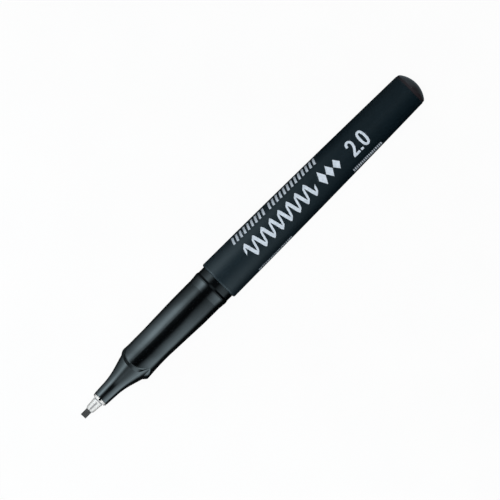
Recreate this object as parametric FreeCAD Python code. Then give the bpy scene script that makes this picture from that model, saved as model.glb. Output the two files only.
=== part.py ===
import FreeCAD, Part
import math
import os

# A fibre-tip calligraphy marker, uncapped, lying on its side.
#
# Everything is drawn in the pen's own frame: u runs along the axis from the nib's writing edge (u = 0)
# to the top of the tail dome, and r is the distance from the axis. placed() then moves a finished solid
# into the row frame: +X from nib to tail, +Z up, the origin on the surface the marker lies on, under the
# middle of its length. Angles round the axis are measured from +Z towards -Y. Sizes are millimetres.

# ---- driving dimensions -------------------------------------------------------------------------
TOTAL_LENGTH = 130.9
BARREL_START = 53.0  # the barrel's front face, where a cap's lip stops
BARREL_END = 128.2  # the barrel's rear face, under the tail plug's flange
BARREL_FRONT_R = 6.24
BARREL_MID_R = 5.86
BARREL_REAR_R = 5.19

NIB_WIDTH = 2.0  # the writing edge, for strokes 2 mm wide
NIB_THICKNESS = 0.75
NIB_CORNER_R = 0.14
NIB_TAIL_END = 31.0
HOLDER_START = 2.4
FLANGE_START = 6.12
FLANGE_R = 2.02
NOSE_START = 6.9

SLEEVE_START = 18.72
SLEEVE_START_R = 4.30  # flush with the nose in front of it
SLEEVE_END = 51.02
GRIP_END_R = 5.55  # where the grip is round, at its rear
GRIP_ROUND_START = 43.5
BEAD_START = 46.2  # where the bead starts to swell out of the round stretch
BEAD_R = 5.77  # snap bead for the cap
BEAD_END = 50.4
NECK_R = 5.60

RESERVOIR_START = 24.6
RESERVOIR_END = 117.4
RESERVOIR_R = 3.0  # over its film
FILM = 0.1

# ---- orientation round the axis -----------------------------------------------------------------
FACET_ANGLE = -14.0  # middle of the uppermost grip facet
NIB_ANGLE = FACET_ANGLE + 60.0  # the nib faces a ridge, so it is parallel to the facet opposite
KEY_ANGLES = [NIB_ANGLE - 45.0 + 90.0 * k for k in range(4)]

# ---- walls and clearances -----------------------------------------------------------------------
PUSH_FIT = 0.03  # radial room between parts that pull apart
SEAT = 0.02  # radial room between parts that stay together
SPIGOT_R = 5.17
SPIGOT_END = 64.9
PLUG_SEAT_R = 4.30
PLUG_SEAT_START = 116.0
PLUG_SPIGOT_START = 119.2
CORE_R = 4.05  # the nose section under the grip sleeve
CAVITY_R = 3.15
STEM_R = 1.45
STEM_END = 15.6

AXIS = FreeCAD.Vector(1, 0, 0)
CENTRE = FreeCAD.Vector(0, 0, 0)


# ---- drawing tools ------------------------------------------------------------------------------
def point(u, r):
    return FreeCAD.Vector(u, 0, r)


def turned(start, *steps):
    """A solid turned about the axis. A step is (u, r) for a line, ("arc", middle, end) for an arc, or
    ("spline", [points]) for a smooth curve. The last point is joined to the first."""
    edges = []
    here = point(*start)
    for step in steps:
        if step[0] == "arc":
            end = point(*step[2])
            edges.append(Part.Arc(here, point(*step[1]), end).toShape())
        elif step[0] == "spline":
            through = [here] + [point(*p) for p in step[1]]
            curve = Part.BSplineCurve()
            curve.interpolate(through)
            edges.append(curve.toShape())
            end = through[-1]
        else:
            end = point(*step)
            edges.append(Part.makeLine(here, end))
        here = end
    first = point(*start)
    if (here - first).Length > 1e-6:
        edges.append(Part.makeLine(here, first))
    face = Part.Face(Part.Wire(edges))
    return face.revolve(CENTRE, AXIS, 360)


def tube(start, end, inner, outer):
    """A plain round tube, or a rod where inner is 0."""
    rod = Part.makeCylinder(outer, end - start, point(start, 0), AXIS)
    if inner <= 0:
        return rod
    return rod.cut(Part.makeCylinder(inner, end - start, point(start, 0), AXIS))


def bar(start, end, width, low, high, angle):
    """A square bar along the axis: width across, from low to high in the direction of angle."""
    box = Part.makeBox(end - start, width, high - low, FreeCAD.Vector(start, -width / 2, low))
    box.rotate(CENTRE, AXIS, angle)
    return box


def vee(start, end, width, low, high, angle):
    """A wedge along the axis, for cutting a groove: its edge at low, width across at high."""
    corners = [(0, low), (width / 2, high), (-width / 2, high), (0, low)]
    outline = Part.makePolygon([FreeCAD.Vector(start, y, z) for y, z in corners])
    wedge = Part.Face(outline).extrude(FreeCAD.Vector(end - start, 0, 0))
    wedge.rotate(CENTRE, AXIS, angle)
    return wedge


def merged(shapes):
    first, *rest = shapes
    return first.fuse(rest).removeSplitter()


def direction(angle):
    a = math.radians(angle)
    return FreeCAD.Vector(0, -math.sin(a), math.cos(a))


def placed(shape):
    moved = shape.copy()
    moved.translate(FreeCAD.Vector(-TOTAL_LENGTH / 2, 0, BARREL_FRONT_R))
    return moved


# ---- the nib and its holder ---------------------------------------------------------------------
def nib_bar(start, end, room):
    """The nib's flat section with its rounded edges, grown by room all round."""
    high = NIB_THICKNESS / 2 + room
    blank = bar(start, end, NIB_WIDTH + 2 * room, -high, high, 0)
    long_edges = [e for e in blank.Edges if abs(e.Length - (end - start)) < 1e-6]
    return blank.makeFillet(NIB_CORNER_R, long_edges)


def nib():
    """A flat bar of bonded fibre. Its writing end is cut square, and its tail is cut to a point that
    feeds from the reservoir."""
    blade = nib_bar(0, NIB_TAIL_END, 0)
    point_length = 2.4
    point_half_width = 0.12
    for side in (-1, 1):
        tip = FreeCAD.Vector(NIB_TAIL_END, side * point_half_width, -1)
        far = FreeCAD.Vector(NIB_TAIL_END, side * 2 * NIB_WIDTH, -1)
        back = FreeCAD.Vector(NIB_TAIL_END - 2 * point_length, side * 2 * NIB_WIDTH, -1)
        wedge = Part.Face(Part.makePolygon([tip, far, back, tip])).extrude(FreeCAD.Vector(0, 0, 2))
        blade = blade.cut(wedge)
    blade.rotate(CENTRE, AXIS, NIB_ANGLE)
    return blade


def nib_holder():
    """White moulding that carries the nib: a tapered snout, a flange that closes the nose, and a stem
    in the nose's bore, with a sharp groove at the snout's root. Four more grooves along the snout let
    air back to the reservoir, and four notches key the flange."""
    body = turned(
        (HOLDER_START, 0),
        (HOLDER_START, 1.04),
        ("arc", (HOLDER_START + 0.4, 1.23), (HOLDER_START + 1.0, 1.33)),
        (FLANGE_START - 0.28, 1.55),
        (FLANGE_START, 1.25),
        (FLANGE_START, FLANGE_R - 0.14),
        ("arc", (FLANGE_START + 0.04, FLANGE_R - 0.04), (FLANGE_START + 0.14, FLANGE_R)),
        (NOSE_START, FLANGE_R),
        (NOSE_START, STEM_R),
        (STEM_END - 0.2, STEM_R),
        (STEM_END, STEM_R - 0.2),
        (STEM_END, 0),
    )
    slot = nib_bar(HOLDER_START - 1, STEM_END + 1, SEAT)
    slot.rotate(CENTRE, AXIS, NIB_ANGLE)
    cuts = [slot]
    for angle in KEY_ANGLES:
        cuts.append(vee(HOLDER_START + 0.55, FLANGE_START - 0.62, 1.24, 0.80, 2, angle))
        cuts.append(bar(FLANGE_START - 0.1, NOSE_START, 0.59, STEM_R + 0.03, 3, angle))
        cuts.append(bar(FLANGE_START - 0.1, STEM_END + 0.1, 0.36, STEM_R - 0.22, 3, angle))
    return body.cut(cuts)


# ---- the front section --------------------------------------------------------------------------
def nose_section():
    """Gloss black moulding: nose, a plain stretch under the grip sleeve, the neck that a cap slides
    over, and a spigot that pushes into the barrel. It is hollow for the nib holder and reservoir."""
    outer = [
        (NOSE_START, 2.22),
        (NOSE_START + 0.12, 2.31),
        (10.4, 2.50),
        ("arc", (13.15, 2.79), (15.85, 3.45)),
        (SLEEVE_START, SLEEVE_START_R),
        (SLEEVE_START, CORE_R),
        (SLEEVE_END, CORE_R),
        (SLEEVE_END, NECK_R),
        (BARREL_START, NECK_R),
        (BARREL_START, SPIGOT_R),
    ]
    for groove in (56.5, 60.5):
        outer += [
            (groove, SPIGOT_R),
            (groove + 0.25, SPIGOT_R - 0.18),
            (groove + 0.85, SPIGOT_R - 0.18),
            (groove + 1.1, SPIGOT_R),
        ]
    outer += [(SPIGOT_END - 0.5, SPIGOT_R), (SPIGOT_END, SPIGOT_R - 0.35)]
    bore = [
        (SPIGOT_END, 4.15),
        (BARREL_START + 0.8, 4.0),
        (BARREL_START - 1.2, CAVITY_R),
        (RESERVOIR_START - 0.2, CAVITY_R),
        (STEM_END + 0.6, STEM_R + SEAT),
        (NOSE_START, STEM_R + SEAT),
    ]
    body = turned(*outer, *bore)
    keys = [bar(NOSE_START - 0.52, NOSE_START + 0.3, 0.53, STEM_R + 0.05, 2.24, a) for a in KEY_ANGLES]
    return merged([body, *keys])


# The grip is one smooth skin. Its section has three shallow facets, each an arc struck from FACET_OFFSET
# beyond the axis, and three soft ridges, which blend into the facets. Both heights are given along u.
RIDGE_PROFILE = [
    (17.8, 5.46),
    (19.9, 5.38),
    (22.3, 5.22),
    (23.6, 5.19),
    (26.0, 5.25),
    (29.0, 5.28),
    (32.0, 5.34),
    (36.0, 5.43),
    (40.0, 5.52),
    (GRIP_ROUND_START, GRIP_END_R),
    (BEAD_START + 2, GRIP_END_R),
]
FACET_PROFILE = [
    (17.8, 5.32),
    (19.6, 5.33),
    (21.2, 5.25),
    (22.9, 5.12),
    (24.6, 5.01),
    (26.4, 4.955),
    (28.4, 4.945),
    (30.5, 5.02),
    (33.3, 5.14),
    (36.5, 5.26),
    (39.2, 5.39),
    (42.0, 5.56),
    (GRIP_ROUND_START, 5.66),
    (BEAD_START + 2, 5.90),
]
FACET_OFFSET = 1.0
RIDGE_BLEND = 0.09
SKIN_STATIONS = [17.8, 19.4, 21.0, 22.6, 24.2, 26.0, 28.0, 30.5, 33.5, 36.5, 39.2, 41.5, 43.5, 45.5, 48.2]


def height_at(profile, u):
    """A smooth curve's height over the axis at u."""
    curve = Part.BSplineCurve()
    curve.interpolate([point(*p) for p in profile])
    across = Part.Plane(point(u, 0), AXIS)
    return curve.intersect(across)[0][0].Z


def from_facet(angle):
    """The angle between a direction and the middle of the nearest facet."""
    away = (angle - FACET_ANGLE) % 120
    return min(away, 120 - away)


def ring(u, radius, step):
    """A closed smooth curve round the axis, whose radius is given by the angle from the nearest facet."""
    curve = Part.BSplineCurve()
    angles = [FACET_ANGLE + step * k for k in range(round(360 / step))]
    through = [direction(a) * radius(from_facet(a)) + point(u, 0) for a in angles]
    curve.interpolate(Points=through, PeriodicFlag=True)
    return Part.Wire([curve.toShape()])


def grip_skin():
    """A solid whose outside is the grip's facets and ridges."""
    rings = []
    for u in SKIN_STATIONS:
        facet_height = height_at(FACET_PROFILE, u)
        ridge_height = height_at(RIDGE_PROFILE, u)

        def radius(away):
            a = math.radians(away)
            bow = facet_height + FACET_OFFSET
            flat = math.sqrt(bow**2 - (FACET_OFFSET * math.sin(a)) ** 2) - FACET_OFFSET * math.cos(a)
            gap = math.sqrt((flat - ridge_height) ** 2 + RIDGE_BLEND**2)
            return (flat + ridge_height - gap) / 2 + RIDGE_BLEND**2 / 4

        rings.append(ring(u, radius, 10))
    return Part.makeLoft(rings, True, False)


# How the grip rises from the nose's cone, by angle from the middle of the nearest facet: where a surface
# reaches RISE_TOP_R along the axis, and how steeply. It is a step at a facet and nothing at a ridge. The
# step's U-shaped edge is broken by a second surface that leans less.
RISE_TOP_R = 5.30
RISE = {0: (19.85, 0.93), 15: (19.97, 0.88), 30: (20.50, 0.68), 45: (21.55, 0.45), 60: (22.70, 0.33)}
BEVEL = {0: (19.96, 0.44), 15: (20.12, 0.40), 30: (20.66, 0.31), 45: (21.85, 0.20), 60: (23.2, 0.15)}
CONE_SLOPE = 0.25
RISE_NEAR = SLEEVE_START - 0.6
RISE_FAR = 24.0  # behind the last of the rise


def rising(table):
    """A solid that widens towards the rear as the table says."""
    rings = []
    for u in (RISE_NEAR, RISE_FAR):

        def radius(away):
            top, slope = table[round(away)]
            return RISE_TOP_R + slope * (u - top)

        rings.append(ring(u, radius, 15))
    return Part.makeLoft(rings, True, True)


def front_collars():
    """What is cut away in front of the grip. The first leaves the nose's cone, carried on under the
    ridges, with the rise to each facet standing out of it. The second breaks the rise's edge."""
    cone = turned(
        (RISE_NEAR, 0),
        (RISE_NEAR, SLEEVE_START_R - 0.6 * CONE_SLOPE),
        (RISE_FAR, SLEEVE_START_R + (RISE_FAR - SLEEVE_START) * CONE_SLOPE),
        (RISE_FAR, 0),
    )
    blank = tube(RISE_NEAR, RISE_FAR, 0, 9)
    return [blank.cut([rising(RISE), cone]), blank.cut(rising(BEVEL))]


def grip_sleeve():
    """Gloss black sleeve over the nose section, three-sided where the fingers hold it. Its rear swells
    into the snap bead for the cap, which ends in a short slope down to the neck."""
    skin = grip_skin()
    for collar in front_collars():
        skin = skin.cut(collar)
    bead = turned(
        (BEAD_START, 0),
        (BEAD_START, GRIP_END_R - 0.04),
        ("arc", (48.8, 5.635), (50.0, BEAD_R)),
        (BEAD_END, BEAD_R),
        (SLEEVE_END, NECK_R),
        (SLEEVE_END, 0),
    )
    within = tube(SLEEVE_START, SLEEVE_END, CORE_R + SEAT, 12)
    return merged([skin, bead]).common(within)


# ---- the barrel and what it holds ---------------------------------------------------------------
def barrel():
    """Matt black tube, drawn in towards its tail. It takes the front section's spigot at one end and
    the tail plug at the other, and six ribs inside it centre the reservoir."""
    edge = 0.52
    on_arc = edge * (1 - math.sqrt(0.5))
    shell = turned(
        (BARREL_START, SPIGOT_R + PUSH_FIT),
        (BARREL_START, BARREL_FRONT_R - edge),
        (
            "arc",
            (BARREL_START + on_arc, BARREL_FRONT_R - on_arc),
            (BARREL_START + edge, BARREL_FRONT_R),
        ),
        ("arc", (90.7, BARREL_MID_R), (BARREL_END - 0.1, BARREL_REAR_R)),
        (BARREL_END, BARREL_REAR_R - 0.1),
        (BARREL_END, PLUG_SEAT_R + 0.25),
        (BARREL_END - 0.25, PLUG_SEAT_R),
        (PLUG_SEAT_START, PLUG_SEAT_R),
        (PLUG_SEAT_START - 0.4, 4.55),
        (SPIGOT_END + 0.4, 4.9),
        (SPIGOT_END + 0.1, SPIGOT_R + PUSH_FIT),
    )
    ribs = [bar(68, 113, 0.8, RESERVOIR_R + 0.15, 5.1, 60.0 * k) for k in range(6)]
    return merged([shell, *ribs])


def reservoir_core():
    """The rod of bonded polyester fibre that holds the ink, with the pocket that the nib's tail
    parts in its front end."""
    rod = tube(RESERVOIR_START, RESERVOIR_END, 0, RESERVOIR_R - FILM)
    pocket = tube(RESERVOIR_START - 1, NIB_TAIL_END + 0.3, 0, NIB_WIDTH / 2 + 0.1)
    return rod.cut(pocket)


def reservoir_film():
    """The clear film wrapped round the fibre."""
    bare_end = 0.4
    start = RESERVOIR_START + bare_end
    end = RESERVOIR_END - bare_end
    return tube(start, end, RESERVOIR_R - FILM, RESERVOIR_R)


def tail_plug():
    """Domed plug that closes the barrel. Its spigot is a cup, with a post that steadies the reservoir
    and four webs between post and cup."""
    spigot_r = PLUG_SEAT_R - PUSH_FIT
    cup_r = 3.35
    floor = BARREL_END - 1.0
    shoulder_r = 4.60  # where the dome meets its rounded shoulder
    height = 1.52
    dome_r = (shoulder_r**2 + height**2) / (2 * height)
    dome_centre = TOTAL_LENGTH - dome_r
    half = math.asin(shoulder_r / dome_r) / 2
    cap = turned(
        (BARREL_END, 0),
        (BARREL_END, BARREL_REAR_R - 0.08),
        (BARREL_END + 0.62, 5.05),
        ("arc", (BARREL_END + 0.93, 4.86), (TOTAL_LENGTH - height, shoulder_r)),
        (
            "arc",
            (dome_centre + dome_r * math.cos(half), dome_r * math.sin(half)),
            (TOTAL_LENGTH, 0),
        ),
    )
    cup = turned(
        (BARREL_END, 0),
        (BARREL_END, spigot_r),
        (124.6, spigot_r),
        (124.4, spigot_r - 0.2),
        (123.6, spigot_r - 0.2),
        (123.4, spigot_r),
        (PLUG_SPIGOT_START + 0.5, spigot_r),
        (PLUG_SPIGOT_START, spigot_r - 0.3),
        (PLUG_SPIGOT_START, cup_r),
        (floor, cup_r),
        (floor, 0),
    )
    post = tube(RESERVOIR_END + 0.2, BARREL_END, 0, 1.1)
    web_start = PLUG_SPIGOT_START + 0.6
    webs = [bar(web_start, BARREL_END, 0.7, 0, cup_r + 0.3, 90.0 * k) for k in range(4)]
    return merged([cap, cup, post, *webs])


PARTS = {
    "nib": nib,
    "nib_holder": nib_holder,
    "nose_section": nose_section,
    "grip_sleeve": grip_sleeve,
    "barrel": barrel,
    "reservoir_core": reservoir_core,
    "reservoir_film": reservoir_film,
    "tail_plug": tail_plug,
}

os.makedirs("parts", exist_ok=True)
for name, make in PARTS.items():
    solid = placed(make())
    print(f"{name}: {len(solid.Solids)} solid, valid {solid.isValid()}, {solid.Volume:.1f} mm3")
    solid.exportStep(f"parts/{name}.step")
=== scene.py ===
"""A calligraphy marker, uncapped, seen from straight above on a pale floor.

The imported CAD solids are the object. This script gives them their materials, lays the printed ink on
the barrel, and adds the floor, the lights and the camera. Nothing in it is random.

On the marker, lengths are in millimetres in its own frame, and point() turns them into metres:
u runs along the axis from the nib's writing edge, r is the distance from the axis, and an angle round
the axis is measured in degrees from straight up towards -Y. Places on the print are (u, v), where v is
the distance round the barrel from its top line, towards +Y. The floor, lights and camera are in metres.
"""

import math

import bpy
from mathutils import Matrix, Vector


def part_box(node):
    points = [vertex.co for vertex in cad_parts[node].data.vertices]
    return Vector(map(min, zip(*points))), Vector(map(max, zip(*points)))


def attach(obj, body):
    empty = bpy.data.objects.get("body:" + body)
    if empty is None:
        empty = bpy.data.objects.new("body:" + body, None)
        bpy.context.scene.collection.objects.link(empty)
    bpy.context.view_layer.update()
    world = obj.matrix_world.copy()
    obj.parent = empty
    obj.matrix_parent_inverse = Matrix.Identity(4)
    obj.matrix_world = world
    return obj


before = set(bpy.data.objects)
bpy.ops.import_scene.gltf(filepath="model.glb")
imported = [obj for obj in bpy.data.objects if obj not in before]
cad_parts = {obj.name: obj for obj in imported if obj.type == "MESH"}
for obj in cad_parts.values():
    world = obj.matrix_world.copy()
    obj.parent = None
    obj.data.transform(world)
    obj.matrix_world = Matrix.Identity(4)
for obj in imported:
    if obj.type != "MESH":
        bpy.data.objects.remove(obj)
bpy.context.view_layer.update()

MM = 0.001
NIB_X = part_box("nib")[0][0]
AXIS_Z = (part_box("barrel")[0][2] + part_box("barrel")[1][2]) / 2


def point(u, r, angle):
    """A place in metres, from its place along the axis, its distance from it and its angle round it."""
    a = math.radians(angle)
    return Vector((NIB_X + u * MM, -r * MM * math.sin(a), AXIS_Z + r * MM * math.cos(a)))


# ---- materials ----------------------------------------------------------------------------------
class Nodes:
    """A material's node tree, with short ways to add to it."""

    def __init__(self, name):
        self.material = bpy.data.materials.new(name)
        self.material.use_nodes = True
        self.tree = self.material.node_tree
        self.shader = self.tree.nodes["Principled BSDF"]
        self.place = self.tree.nodes.new("ShaderNodeTexCoord").outputs["Object"]

    def add(self, kind, inputs=None, **settings):
        node = self.tree.nodes.new("ShaderNode" + kind)
        for key, value in settings.items():
            setattr(node, key, value)
        for key, value in (inputs or {}).items():
            self.put(node.inputs[key], value)
        return node

    def put(self, socket, value):
        if isinstance(value, bpy.types.NodeSocket):
            self.tree.links.new(value, socket)
        else:
            socket.default_value = value

    def set(self, **inputs):
        for key, value in inputs.items():
            self.put(self.shader.inputs[key.replace("_", " ")], value)

    def stretched(self, along, across):
        """Object coordinates in metres, scaled separately along the axis and across it."""
        node = self.add("Mapping", {"Vector": self.place})
        node.inputs["Scale"].default_value = (along, across, across)
        return node.outputs["Vector"]

    def noise(self, scale, detail, vector=None, roughness=0.5):
        inputs = {"Vector": vector or self.place, "Scale": scale}
        inputs.update({"Detail": detail, "Roughness": roughness})
        return self.add("TexNoise", inputs).outputs["Fac"]

    def math(self, operation, *values):
        node = self.add("Math", operation=operation)
        for socket, value in zip(node.inputs, values):
            self.put(socket, value)
        return node.outputs["Value"]

    def rise(self, value, start, end):
        """0 where value is at start, rising to 1 at end."""
        inputs = {"Value": value, "From Min": start, "From Max": end}
        return self.add("MapRange", inputs).outputs["Result"]

    def ramp(self, value, *stops):
        """A colour ramp: stops are (position, colour or grey)."""
        node = self.add("ValToRGB", {"Fac": value})
        elements = node.color_ramp.elements
        while len(elements) < len(stops):
            elements.new(0.5)
        for element, (where, colour) in zip(elements, stops):
            element.position = where
            element.color = colour if isinstance(colour, tuple) else (colour, colour, colour, 1)
        return node.outputs["Color"]

    def bump(self, height, distance, strength=1.0):
        inputs = {"Height": height, "Distance": distance, "Strength": strength}
        return self.add("Bump", inputs).outputs["Normal"]


def rgb(r, g, b):
    """A colour in linear light."""
    return (r, g, b, 1.0)


def matt_black():
    """Finely textured moulding, a little polished in patches by handling."""
    n = Nodes("matt_black")
    grain = n.noise(9000, 3)
    handling = n.noise(90, 4, n.stretched(0.4, 1.0))
    dark, light = rgb(0.0008, 0.0040, 0.0064), rgb(0.0014, 0.0054, 0.0084)
    n.set(
        Base_Color=n.ramp(n.noise(160, 4), (0.3, dark), (0.7, light)),
        Roughness=n.ramp(handling, (0.3, 0.43), (0.7, 0.50)),
        Normal=n.bump(grain, 0.004 * MM),
    )
    return n.material


def gloss_black(name, dark, light, roughness):
    """Polished moulding with faint flow lines and fine hairline scuffs round it."""
    n = Nodes(name)
    flow = n.noise(60, 3, n.stretched(0.25, 1.0))
    scuffs = n.noise(1.0, 4, n.stretched(9000, 350), 0.6)
    n.set(
        Base_Color=n.ramp(flow, (0.3, dark), (0.7, light)),
        Roughness=n.ramp(scuffs, (0.45, roughness), (0.75, roughness + 0.08)),
        Normal=n.bump(n.noise(2600, 2), 0.0010 * MM),
    )
    return n.material


def white_plastic():
    """White moulding. Painted shade darkens its colour along the snout's air grooves, which lie in two
    planes through the axis, and in the sharp groove at its root."""
    n = Nodes("white_plastic")
    place = n.add("SeparateXYZ", {"Vector": n.place}).outputs
    x, across, up = place["X"], place["Y"], n.math("SUBTRACT", place["Z"], AXIS_Z)
    from_plane = n.math("MINIMUM", n.math("ABSOLUTE", across), n.math("ABSOLUTE", up))
    groove_end, root_start, root_end = (NIB_X + u * MM for u in (5.5, 5.84, 6.12))
    groove_edge, groove_middle, fade = 0.24 * MM, 0.10 * MM, 0.1 * MM
    in_groove = n.rise(from_plane, groove_edge, groove_middle)
    before_root = n.rise(x, groove_end, groove_end - fade)
    behind_start = n.rise(x, root_start - fade, root_start + fade)
    before_end = n.rise(x, root_end + fade / 2, root_end)
    # The air grooves and the groove at the snout's root are darkened in colour: painted shade.
    groove = n.math("MULTIPLY", in_groove, before_root)
    root = n.math("MULTIPLY", behind_start, before_end)
    tone_and_painted_shade = n.math("MULTIPLY_ADD", n.noise(500, 3), 0.15, n.math("MAXIMUM", groove, root))
    # The darkest stop is painted shade for the grooves. The other two are the plastic's own slight
    # variation in tone.
    clean, dull, painted_shade_grey = rgb(0.93, 0.93, 0.91), rgb(0.89, 0.89, 0.87), rgb(0.50, 0.51, 0.53)
    n.set(
        Base_Color=n.ramp(tone_and_painted_shade, (0.045, clean), (0.11, dull), (1.0, painted_shade_grey)),
        Roughness=n.ramp(n.noise(1500, 3), (0.3, 0.32), (0.7, 0.40)),
        Normal=n.bump(n.noise(5000, 2), 0.003 * MM),
    )
    return n.material


def bonded_fibre(name, dark, light):
    """Fibres that run along the axis, bonded side by side."""
    n = Nodes(name)
    strands = n.noise(1.0, 4, n.stretched(500, 11000), 0.6)
    soak = n.noise(700, 3)
    n.set(
        Base_Color=n.ramp(n.math("MULTIPLY", strands, soak), (0.12, dark), (0.42, light)),
        Roughness=0.9,
        Normal=n.bump(strands, 0.02 * MM, 0.8),
    )
    return n.material


def clear_film():
    """Thin film over the dark reservoir, so it looks a smoky grey."""
    n = Nodes("clear_film")
    n.set(
        Base_Color=n.ramp(n.noise(200, 3), (0.3, rgb(0.30, 0.31, 0.33)), (0.7, rgb(0.36, 0.37, 0.39))),
        Roughness=n.ramp(n.noise(900, 3), (0.3, 0.16), (0.7, 0.22)),
        Normal=n.bump(n.noise(150, 3, n.stretched(0.3, 1.0)), 0.02 * MM),
    )
    return n.material


def print_ink():
    """Pale ink laid on by pad: slightly uneven, and thin in places."""
    n = Nodes("print_ink")
    thin, full = rgb(0.52, 0.60, 0.68), rgb(0.66, 0.74, 0.83)
    n.set(
        Base_Color=n.ramp(n.noise(1300, 5), (0.3, thin), (0.62, full)),
        Roughness=n.ramp(n.noise(2600, 3), (0.3, 0.5), (0.7, 0.6)),
        Normal=n.bump(n.noise(4000, 3), 0.004 * MM),
    )
    return n.material


GLOSS = gloss_black("gloss_black", rgb(0.0006, 0.0008, 0.0010), rgb(0.0012, 0.0015, 0.0018), 0.13)
PLUG = gloss_black("plug_black", rgb(0.0180, 0.0140, 0.0165), rgb(0.0220, 0.0175, 0.0205), 0.2)
INK = print_ink()
MATERIALS = {
    "nib": bonded_fibre("nib_fibre", rgb(0.060, 0.060, 0.060), rgb(0.100, 0.100, 0.100)),
    "nib_holder": white_plastic(),
    "nose_section": GLOSS,
    "grip_sleeve": GLOSS,
    "barrel": matt_black(),
    "reservoir_core": bonded_fibre("ink_fibre", rgb(0.004, 0.004, 0.006), rgb(0.016, 0.016, 0.020)),
    "reservoir_film": clear_film(),
    "tail_plug": PLUG,
}
for node, material in MATERIALS.items():
    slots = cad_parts[node].data.materials
    slots.clear()
    slots.append(material)


# ---- the printing on the barrel -----------------------------------------------------------------
def barrel_radius(u):
    """The barrel's outside: a slightly bowed line (a parabola) through its front, middle and rear."""
    (x1, y1), (x2, y2), (x3, y3) = (53.52, 6.24), (90.7, 5.86), (128.1, 5.19)
    a = y1 * (u - x2) * (u - x3) / ((x1 - x2) * (x1 - x3))
    b = y2 * (u - x1) * (u - x3) / ((x2 - x1) * (x2 - x3))
    c = y3 * (u - x1) * (u - x2) / ((x3 - x1) * (x3 - x2))
    return a + b + c


INK_TOP = 0.022  # the ink's upper face over the barrel's true surface
INK_ROOT = -0.03  # its lower face, sunk in the barrel


class Ink:
    """Printed marks, gathered into one mesh of closed, thin, curved layers."""

    def __init__(self):
        self.verts = []
        self.faces = []
        self.lift = 0.0  # a stroke that crosses another is laid this much higher

    def vertex(self, u, v, height):
        r = barrel_radius(u)
        self.verts.append(point(u, r + height, -math.degrees(v / r)))
        return len(self.verts) - 1

    def strip(self, rungs, closed=False, across=4):
        """A stroke: rungs are pairs of (u, v) places, one on each side of it."""
        top, root = [], []
        for (u1, v1), (u2, v2) in rungs:
            steps = [i / across for i in range(across + 1)]
            places = [(u1 + (u2 - u1) * t, v1 + (v2 - v1) * t) for t in steps]
            top.append([self.vertex(u, v, INK_TOP + self.lift) for u, v in places])
            root.append([self.vertex(u, v, INK_ROOT) for u, v in places])
        count = len(rungs)
        for i in range(count if closed else count - 1):
            j = (i + 1) % count
            for k in range(across):
                self.faces.append((top[i][k], top[j][k], top[j][k + 1], top[i][k + 1]))
                self.faces.append((root[i][k + 1], root[j][k + 1], root[j][k], root[i][k]))
            self.faces.append((root[i][0], root[j][0], top[j][0], top[i][0]))
            self.faces.append((top[i][-1], top[j][-1], root[j][-1], root[i][-1]))
        if not closed:
            for k in range(across):
                self.faces.append((top[0][k], top[0][k + 1], root[0][k + 1], root[0][k]))
                self.faces.append((root[-1][k], root[-1][k + 1], top[-1][k + 1], top[-1][k]))

    def broad(self, path, width, slope):
        """A stroke of a broad nib held at a constant slope, in degrees."""
        a = math.radians(slope)
        du, dv = math.cos(a) * width / 2, math.sin(a) * width / 2
        self.strip([((u - du, v - dv), (u + du, v + dv)) for u, v in path])

    def line(self, path, width, closed=False):
        """A stroke of constant width along a smooth path."""
        rungs = []
        count = len(path)
        for i, (u, v) in enumerate(path):
            before = path[i - 1] if closed or i else path[0]
            after = path[(i + 1) % count] if closed or i < count - 1 else path[-1]
            du, dv = after[0] - before[0], after[1] - before[1]
            size = math.hypot(du, dv)
            nu, nv = -dv / size * width / 2, du / size * width / 2
            rungs.append(((u - nu, v - nv), (u + nu, v + nv)))
        self.strip(rungs, closed, across=3)

    def lozenge(self, u, v, length, height):
        """A diamond, as a broad nib leaves where it is set down. Its two ends are cut a little blunt."""
        steps, blunt = 8, 0.02
        rungs = []
        for i in range(steps + 1):
            t = i / steps
            half = max(blunt, 0.5 - abs(t - 0.5))
            place = u + length * (t - 0.5)
            rungs.append(((place, v - height * half), (place, v + height * half)))
        self.strip(rungs, across=16)

    def finish(self, name):
        """Turns the marks into a piece that moves with the barrel."""
        mesh = bpy.data.meshes.new(name)
        mesh.from_pydata(self.verts, [], self.faces)
        mesh.materials.append(INK)
        mesh.validate()
        mesh.update()
        piece = bpy.data.objects.new(name, mesh)
        bpy.context.collection.objects.link(piece)
        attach(piece, "barrel")


def curve(points):
    """A smooth line through points (Catmull-Rom)."""
    steps = 8
    ends = [points[0], *points, points[-1]]
    path = []
    for four in zip(ends, ends[1:], ends[2:], ends[3:]):
        for s in range(steps):
            t = s / steps
            place = []
            for a, b, c, d in zip(*four):
                value = 2 * b + (c - a) * t + (2 * a - 5 * b + 4 * c - d) * t**2
                value += (3 * b - a - 3 * c + d) * t**3
                place.append(value / 2)
            path.append(tuple(place))
    path.append(points[-1])
    return path


def wave_ornament():
    """A row of broad-nib practice waves and lozenges, where a maker prints its wording."""
    ink = Ink()
    start, pitch, waves, points = 64.2, 3.3, 8, 24
    middle, height = -0.25, 2.2
    path = []
    for i in range(waves * points + 1):
        t = i / points
        path.append((start + pitch * t, middle + height * math.sin(2 * math.pi * t)))
    ink.broad(path, width=1.12, slope=42)
    first, apart = 93.7, 2.75
    for i in range(3):
        ink.lozenge(first + apart * i, middle, length=2.4, height=4.8 - 0.7 * i)
    ink.finish("print_ornament")


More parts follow.
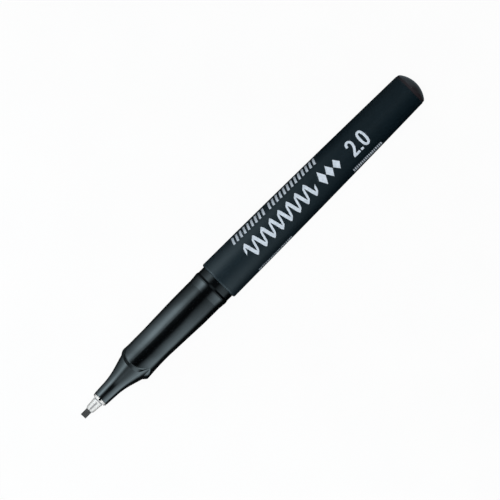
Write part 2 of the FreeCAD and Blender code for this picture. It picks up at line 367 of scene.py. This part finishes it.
def numerals():
    """The nib's width in millimetres: 2.0."""
    ink = Ink()
    stroke, half_width, half_height = 0.74, 0.88, 2.1
    middle = -0.22
    two_u, point_u, nought_u = 105.35, 107.4, 109.5
    bow = [
        (-1.0, 0.45), (-0.82, 0.82), (-0.3, 1.0), (0.3, 1.0), (0.85, 0.78), (1.0, 0.42), (0.62, -0.12),
        (-0.3, -0.62), (-0.98, -1.0),
    ]
    ink.line(curve([(two_u + half_width * a, middle + half_height * b) for a, b in bow]), stroke)
    foot, foot_half, point_half = middle - half_height, 1.15, 0.42
    ink.lift = 0.004
    ink.line([(two_u + foot_half * i / 5, foot) for i in range(-5, 6)], stroke)
    ink.lift = 0.0
    ink.line([(point_u + point_half * i / 2, foot) for i in range(-2, 3)], stroke)
    nought = []
    squareness, steps = 0.8, 48
    for i in range(steps):
        a = 2 * math.pi * i / steps
        x = math.copysign(abs(math.cos(a)) ** squareness, math.cos(a))
        y = math.copysign(abs(math.sin(a)) ** squareness, math.sin(a))
        nought.append((nought_u + half_width * x, middle + half_height * y))
    ink.line(nought, stroke, closed=True)
    ink.finish("print_numerals")


def bars(ink, start, end, pitch, low, high, width, lean=0.0):
    """A row of short bars across the barrel, from low to high round it."""
    steps = 6
    for i in range(int((end - start) / pitch) + 1):
        u = start + pitch * i
        path = []
        for k in range(steps + 1):
            t = k / steps
            path.append((u + lean * (t - 0.5), low + (high - low) * t))
        ink.line(path, width)


def side_marks():
    """Plain bars and ticks in rows to either side of the main print."""
    rule = Ink()
    for start, end in ((63.9, 75.6), (77.9, 96.4)):
        bars(rule, start, end, pitch=1.45, low=4.3, high=7.2, width=0.72, lean=0.7)
    rule.finish("print_rule")
    ticks = Ink()
    for start, end, low, high in ((101.6, 112.2, -5.4, -6.8), (63.6, 76.5, -7.2, -8.4)):
        bars(ticks, start, end, pitch=0.66, low=low, high=high, width=0.42)
    ticks.finish("print_ticks")


wave_ornament()
numerals()
side_marks()


# ---- floor, lights and camera -------------------------------------------------------------------
TENT_TINT = (0.81, 1.03, 1.13)  # a cool white


def floor():
    """A pale floor that curves up into a wall all round, so that no view has a horizon."""
    n = Nodes("pale_floor")
    n.set(
        Base_Color=n.ramp(n.noise(40, 3), (0.3, 0.02), (0.7, 0.03)),
        Roughness=0.9,
        Emission_Color=rgb(1.0, 1.0, 1.0),
        Emission_Strength=0.95,
    )
    flat_r, cove_r, wall_height, sides, steps = 2.5, 0.5, 3.0, 64, 6
    profile = []  # (distance from the middle, height)
    for i in range(steps + 1):
        a = math.pi / 2 * i / steps
        profile.append((flat_r + cove_r * math.sin(a), cove_r - cove_r * math.cos(a)))
    profile.append((flat_r + cove_r, wall_height))
    verts, faces = [], [tuple(range(sides))]
    for r, z in profile:
        for k in range(sides):
            a = 2 * math.pi * k / sides
            verts.append((r * math.cos(a), r * math.sin(a), z))
    for i in range(len(profile) - 1):
        for k in range(sides):
            j = (k + 1) % sides
            faces.append((i * sides + j, i * sides + k, (i + 1) * sides + k, (i + 1) * sides + j))
    mesh = bpy.data.meshes.new("floor")
    mesh.from_pydata(verts, [], faces)
    mesh.materials.append(n.material)
    piece = bpy.data.objects.new("floor", mesh)
    bpy.context.collection.objects.link(piece)
    # The floor is lit for the camera only, so that the marker's underside reflects a dark studio.
    piece.visible_glossy = False
    piece.visible_diffuse = False
    piece.visible_shadow = False


# The marker's gloss reflects a round tent of soft light about its axis. AROUND_GRIP and AROUND_BARREL are
# the tent's brightness by angle from straight up towards -Y, in front of BLEND_X and behind it: two broad
# strips, with a dark gap overhead and darkness below.
AROUND_GRIP = [
    (-180, 0.01), (-150, 0.03), (-126, 0.09), (-114, 0.38), (-98, 0.75), (-83, 1.4), (-72, 2.2), (-60, 3.6),
    (-53, 4.1), (-45, 3.7), (-36, 1.8), (-28, 0.6), (-20, 0.06), (0, 0.01), (14, 0.05), (24, 0.7),
    (36, 1.3), (46, 1.7), (58, 2.2), (70, 2.3), (80, 2.6), (90, 1.7), (100, 0.4), (108, 0.02), (180, 0.01),
]
AROUND_BARREL = [
    (-180, 0.01), (-126, 0.08), (-114, 0.3), (-98, 0.7), (-83, 1.4), (-72, 2.1), (-60, 3.2), (-53, 3.7),
    (-45, 3.2), (-36, 1.6), (-28, 0.6), (-20, 0.06), (0, 0.01), (14, 0.05), (24, 0.7), (36, 1.3),
    (46, 1.7), (58, 1.8), (66, 1.25), (76, 0.4), (86, 0.06), (96, 0.01), (180, 0.0),
]
BLEND_X = (-0.018, -0.006)
# These multiply it by place along the axis, in metres, on the +Y side (LEFT) and the -Y side (RIGHT):
# the strips fade towards the tail.
ALONG_LEFT = [
    (-0.32, 0.5), (-0.126, 0.8), (-0.111, 1.05), (-0.072, 1.44), (-0.05, 1.2), (-0.041, 1.05),
    (-0.0295, 0.66), (-0.02, 0.48), (-0.0085, 0.36), (0.02, 0.14), (0.04, 0.04), (0.06, 0.0), (0.25, 0.0),
]
ALONG_RIGHT = [
    (-0.32, 0.7), (-0.126, 1.1), (-0.111, 1.35), (-0.072, 1.6), (-0.05, 1.2), (-0.041, 1.1),
    (-0.0295, 0.68), (-0.02, 0.48), (-0.0085, 0.36), (0.02, 0.14), (0.04, 0.02), (0.06, 0.0), (0.25, 0.0),
]
# OVERHEAD fills the gap in front of the nib, a little over the barrel, and in a patch over the tail.
OVERHEAD = [
    (-0.32, 0.9), (-0.12, 1.3), (-0.1, 1.0), (-0.085, 0.0), (-0.013, 0.0), (0.004, 0.34), (0.035, 0.32),
    (0.05, 0.24), (0.061, 0.55), (0.071, 0.55), (0.082, 0.0),
]
OVERHEAD_HALF_ANGLE = 40
BEHIND = [(0.072, 0.0), (0.1, 0.22), (0.25, 0.2)]  # all round behind the tail, more of it on the +Y side
TENT_R = 0.12
TENT_START, TENT_STEP, TENT_STEPS = -0.32, 0.006, 95
END_RINGS = (0.01, 0.25, 0.5, 0.75, 0.97)  # the rings of the tent's two ends, as shares of its radius


def level(profile, where):
    """A profile's value, smoothly between its points."""
    if where <= profile[0][0]:
        return profile[0][1]
    for (x1, y1), (x2, y2) in zip(profile, profile[1:]):
        if where <= x2:
            t = (where - x1) / (x2 - x1)
            return y1 + (y2 - y1) * t * t * (3 - 2 * t)
    return profile[-1][1]


def tent_wall(x, angle):
    """The round wall: the two strips, what is overhead, and what is behind the tail."""
    left = angle < 0
    strips = level(ALONG_LEFT if left else ALONG_RIGHT, x)
    rear = level([(BLEND_X[0], 0.0), (BLEND_X[1], 1.0)], x)
    strips *= level(AROUND_GRIP, angle) * (1 - rear) + level(AROUND_BARREL, angle) * rear
    near_top = max(0.0, 1 - abs(angle) / OVERHEAD_HALF_ANGLE)
    overhead = level(OVERHEAD, x) * math.sin(math.pi / 2 * near_top) ** 2
    return strips + overhead + level(BEHIND, x) * (1 - 0.8 * math.sin(math.radians(angle)))


def tent_front(angle, out):
    """The end of the tent in front of the nib, brighter on the -Y side."""
    return level([(-1, 0.13), (0, 0.46), (1, 1.7)], out * math.sin(math.radians(angle)))


def tent_tail(angle, out):
    """The end of the tent behind the tail, brighter on the +Y side."""
    return level([(-1, 0.7), (-0.2, 0.34), (0.3, 0.06), (1, 0.25)], out * math.sin(math.radians(angle)))


def light_tent():
    """Only reflections see the tent. The camera and the floor don't."""
    angles = range(-180, 180, 4)
    stations = [TENT_START + TENT_STEP * i for i in range(TENT_STEPS + 1)]
    rings = []  # (x, radius, brightness by angle)
    for out in END_RINGS:
        rings.append((stations[0], out * TENT_R, lambda a, out=out: tent_front(a, out)))
    for x in stations:
        rings.append((x, TENT_R, lambda a, x=x: tent_wall(x, a)))
    for out in reversed(END_RINGS):
        rings.append((stations[-1], out * TENT_R, lambda a, out=out: tent_tail(a, out)))
    verts, faces, levels = [], [], []
    for x, radius, brightness in rings:
        for angle in angles:
            a = math.radians(angle)
            verts.append((x, -radius * math.sin(a), AXIS_Z + radius * math.cos(a)))
            levels.append(brightness(angle))
    count = len(angles)
    for i in range(len(rings) - 1):
        for k in range(count):
            j = (k + 1) % count
            faces.append((i * count + k, i * count + j, (i + 1) * count + j, (i + 1) * count + k))
    mesh = bpy.data.meshes.new("light_tent")
    mesh.from_pydata(verts, [], faces)
    mesh.attributes.new("radiance", "FLOAT", "POINT").data.foreach_set("value", levels)
    material = bpy.data.materials.new("light_tent")
    material.use_nodes = True
    material.cycles.emission_sampling = "NONE"
    tree = material.node_tree
    tree.nodes.clear()
    radiance = tree.nodes.new("ShaderNodeAttribute")
    radiance.attribute_name = "radiance"
    glow = tree.nodes.new("ShaderNodeEmission")
    glow.inputs["Color"].default_value = (*TENT_TINT, 1)
    output = tree.nodes.new("ShaderNodeOutputMaterial")
    tree.links.new(radiance.outputs["Fac"], glow.inputs["Strength"])
    tree.links.new(glow.outputs["Emission"], output.inputs["Surface"])
    mesh.materials.append(material)
    piece = bpy.data.objects.new("light_tent", mesh)
    bpy.context.collection.objects.link(piece)
    piece.visible_camera = False
    piece.visible_diffuse = False
    piece.visible_shadow = False
    piece.visible_transmission = False


def key_light():
    """A soft light straight overhead. Reflections come from the tent instead."""
    distance, size = 0.6, 0.3
    data = bpy.data.lights.new("key", "AREA")
    data.shape = "SQUARE"
    data.size = size
    data.energy = math.pi**2 * distance**2  # a white face turned to it looks white
    lamp = bpy.data.objects.new("key", data)
    bpy.context.collection.objects.link(lamp)
    lamp.location = (0, 0, AXIS_Z + distance)
    lamp.visible_glossy = False


floor()
light_tent()
key_light()

world = bpy.data.worlds.new("studio")
world.use_nodes = True
background = world.node_tree.nodes["Background"]
background.inputs["Color"].default_value = (*TENT_TINT, 1)
background.inputs["Strength"].default_value = 0.012
bpy.context.scene.world = world
bpy.context.scene.view_settings.view_transform = "Standard"

VIEW_WIDTH = 0.1389  # what the picture shows from side to side, at the marker's axis
VIEW_MIDDLE_Y = -0.00013
VIEW_TURN = -45.02  # the marker runs from bottom left to top right
camera_data = bpy.data.cameras.new("camera")
camera_data.lens = 500
camera_data.sensor_width = 36
camera_height = VIEW_WIDTH * camera_data.lens / camera_data.sensor_width
camera = bpy.data.objects.new("camera", camera_data)
bpy.context.collection.objects.link(camera)
camera.location = (0, VIEW_MIDDLE_Y, AXIS_Z + camera_height)
camera.rotation_euler = (0, 0, math.radians(VIEW_TURN))
bpy.context.scene.camera = camera
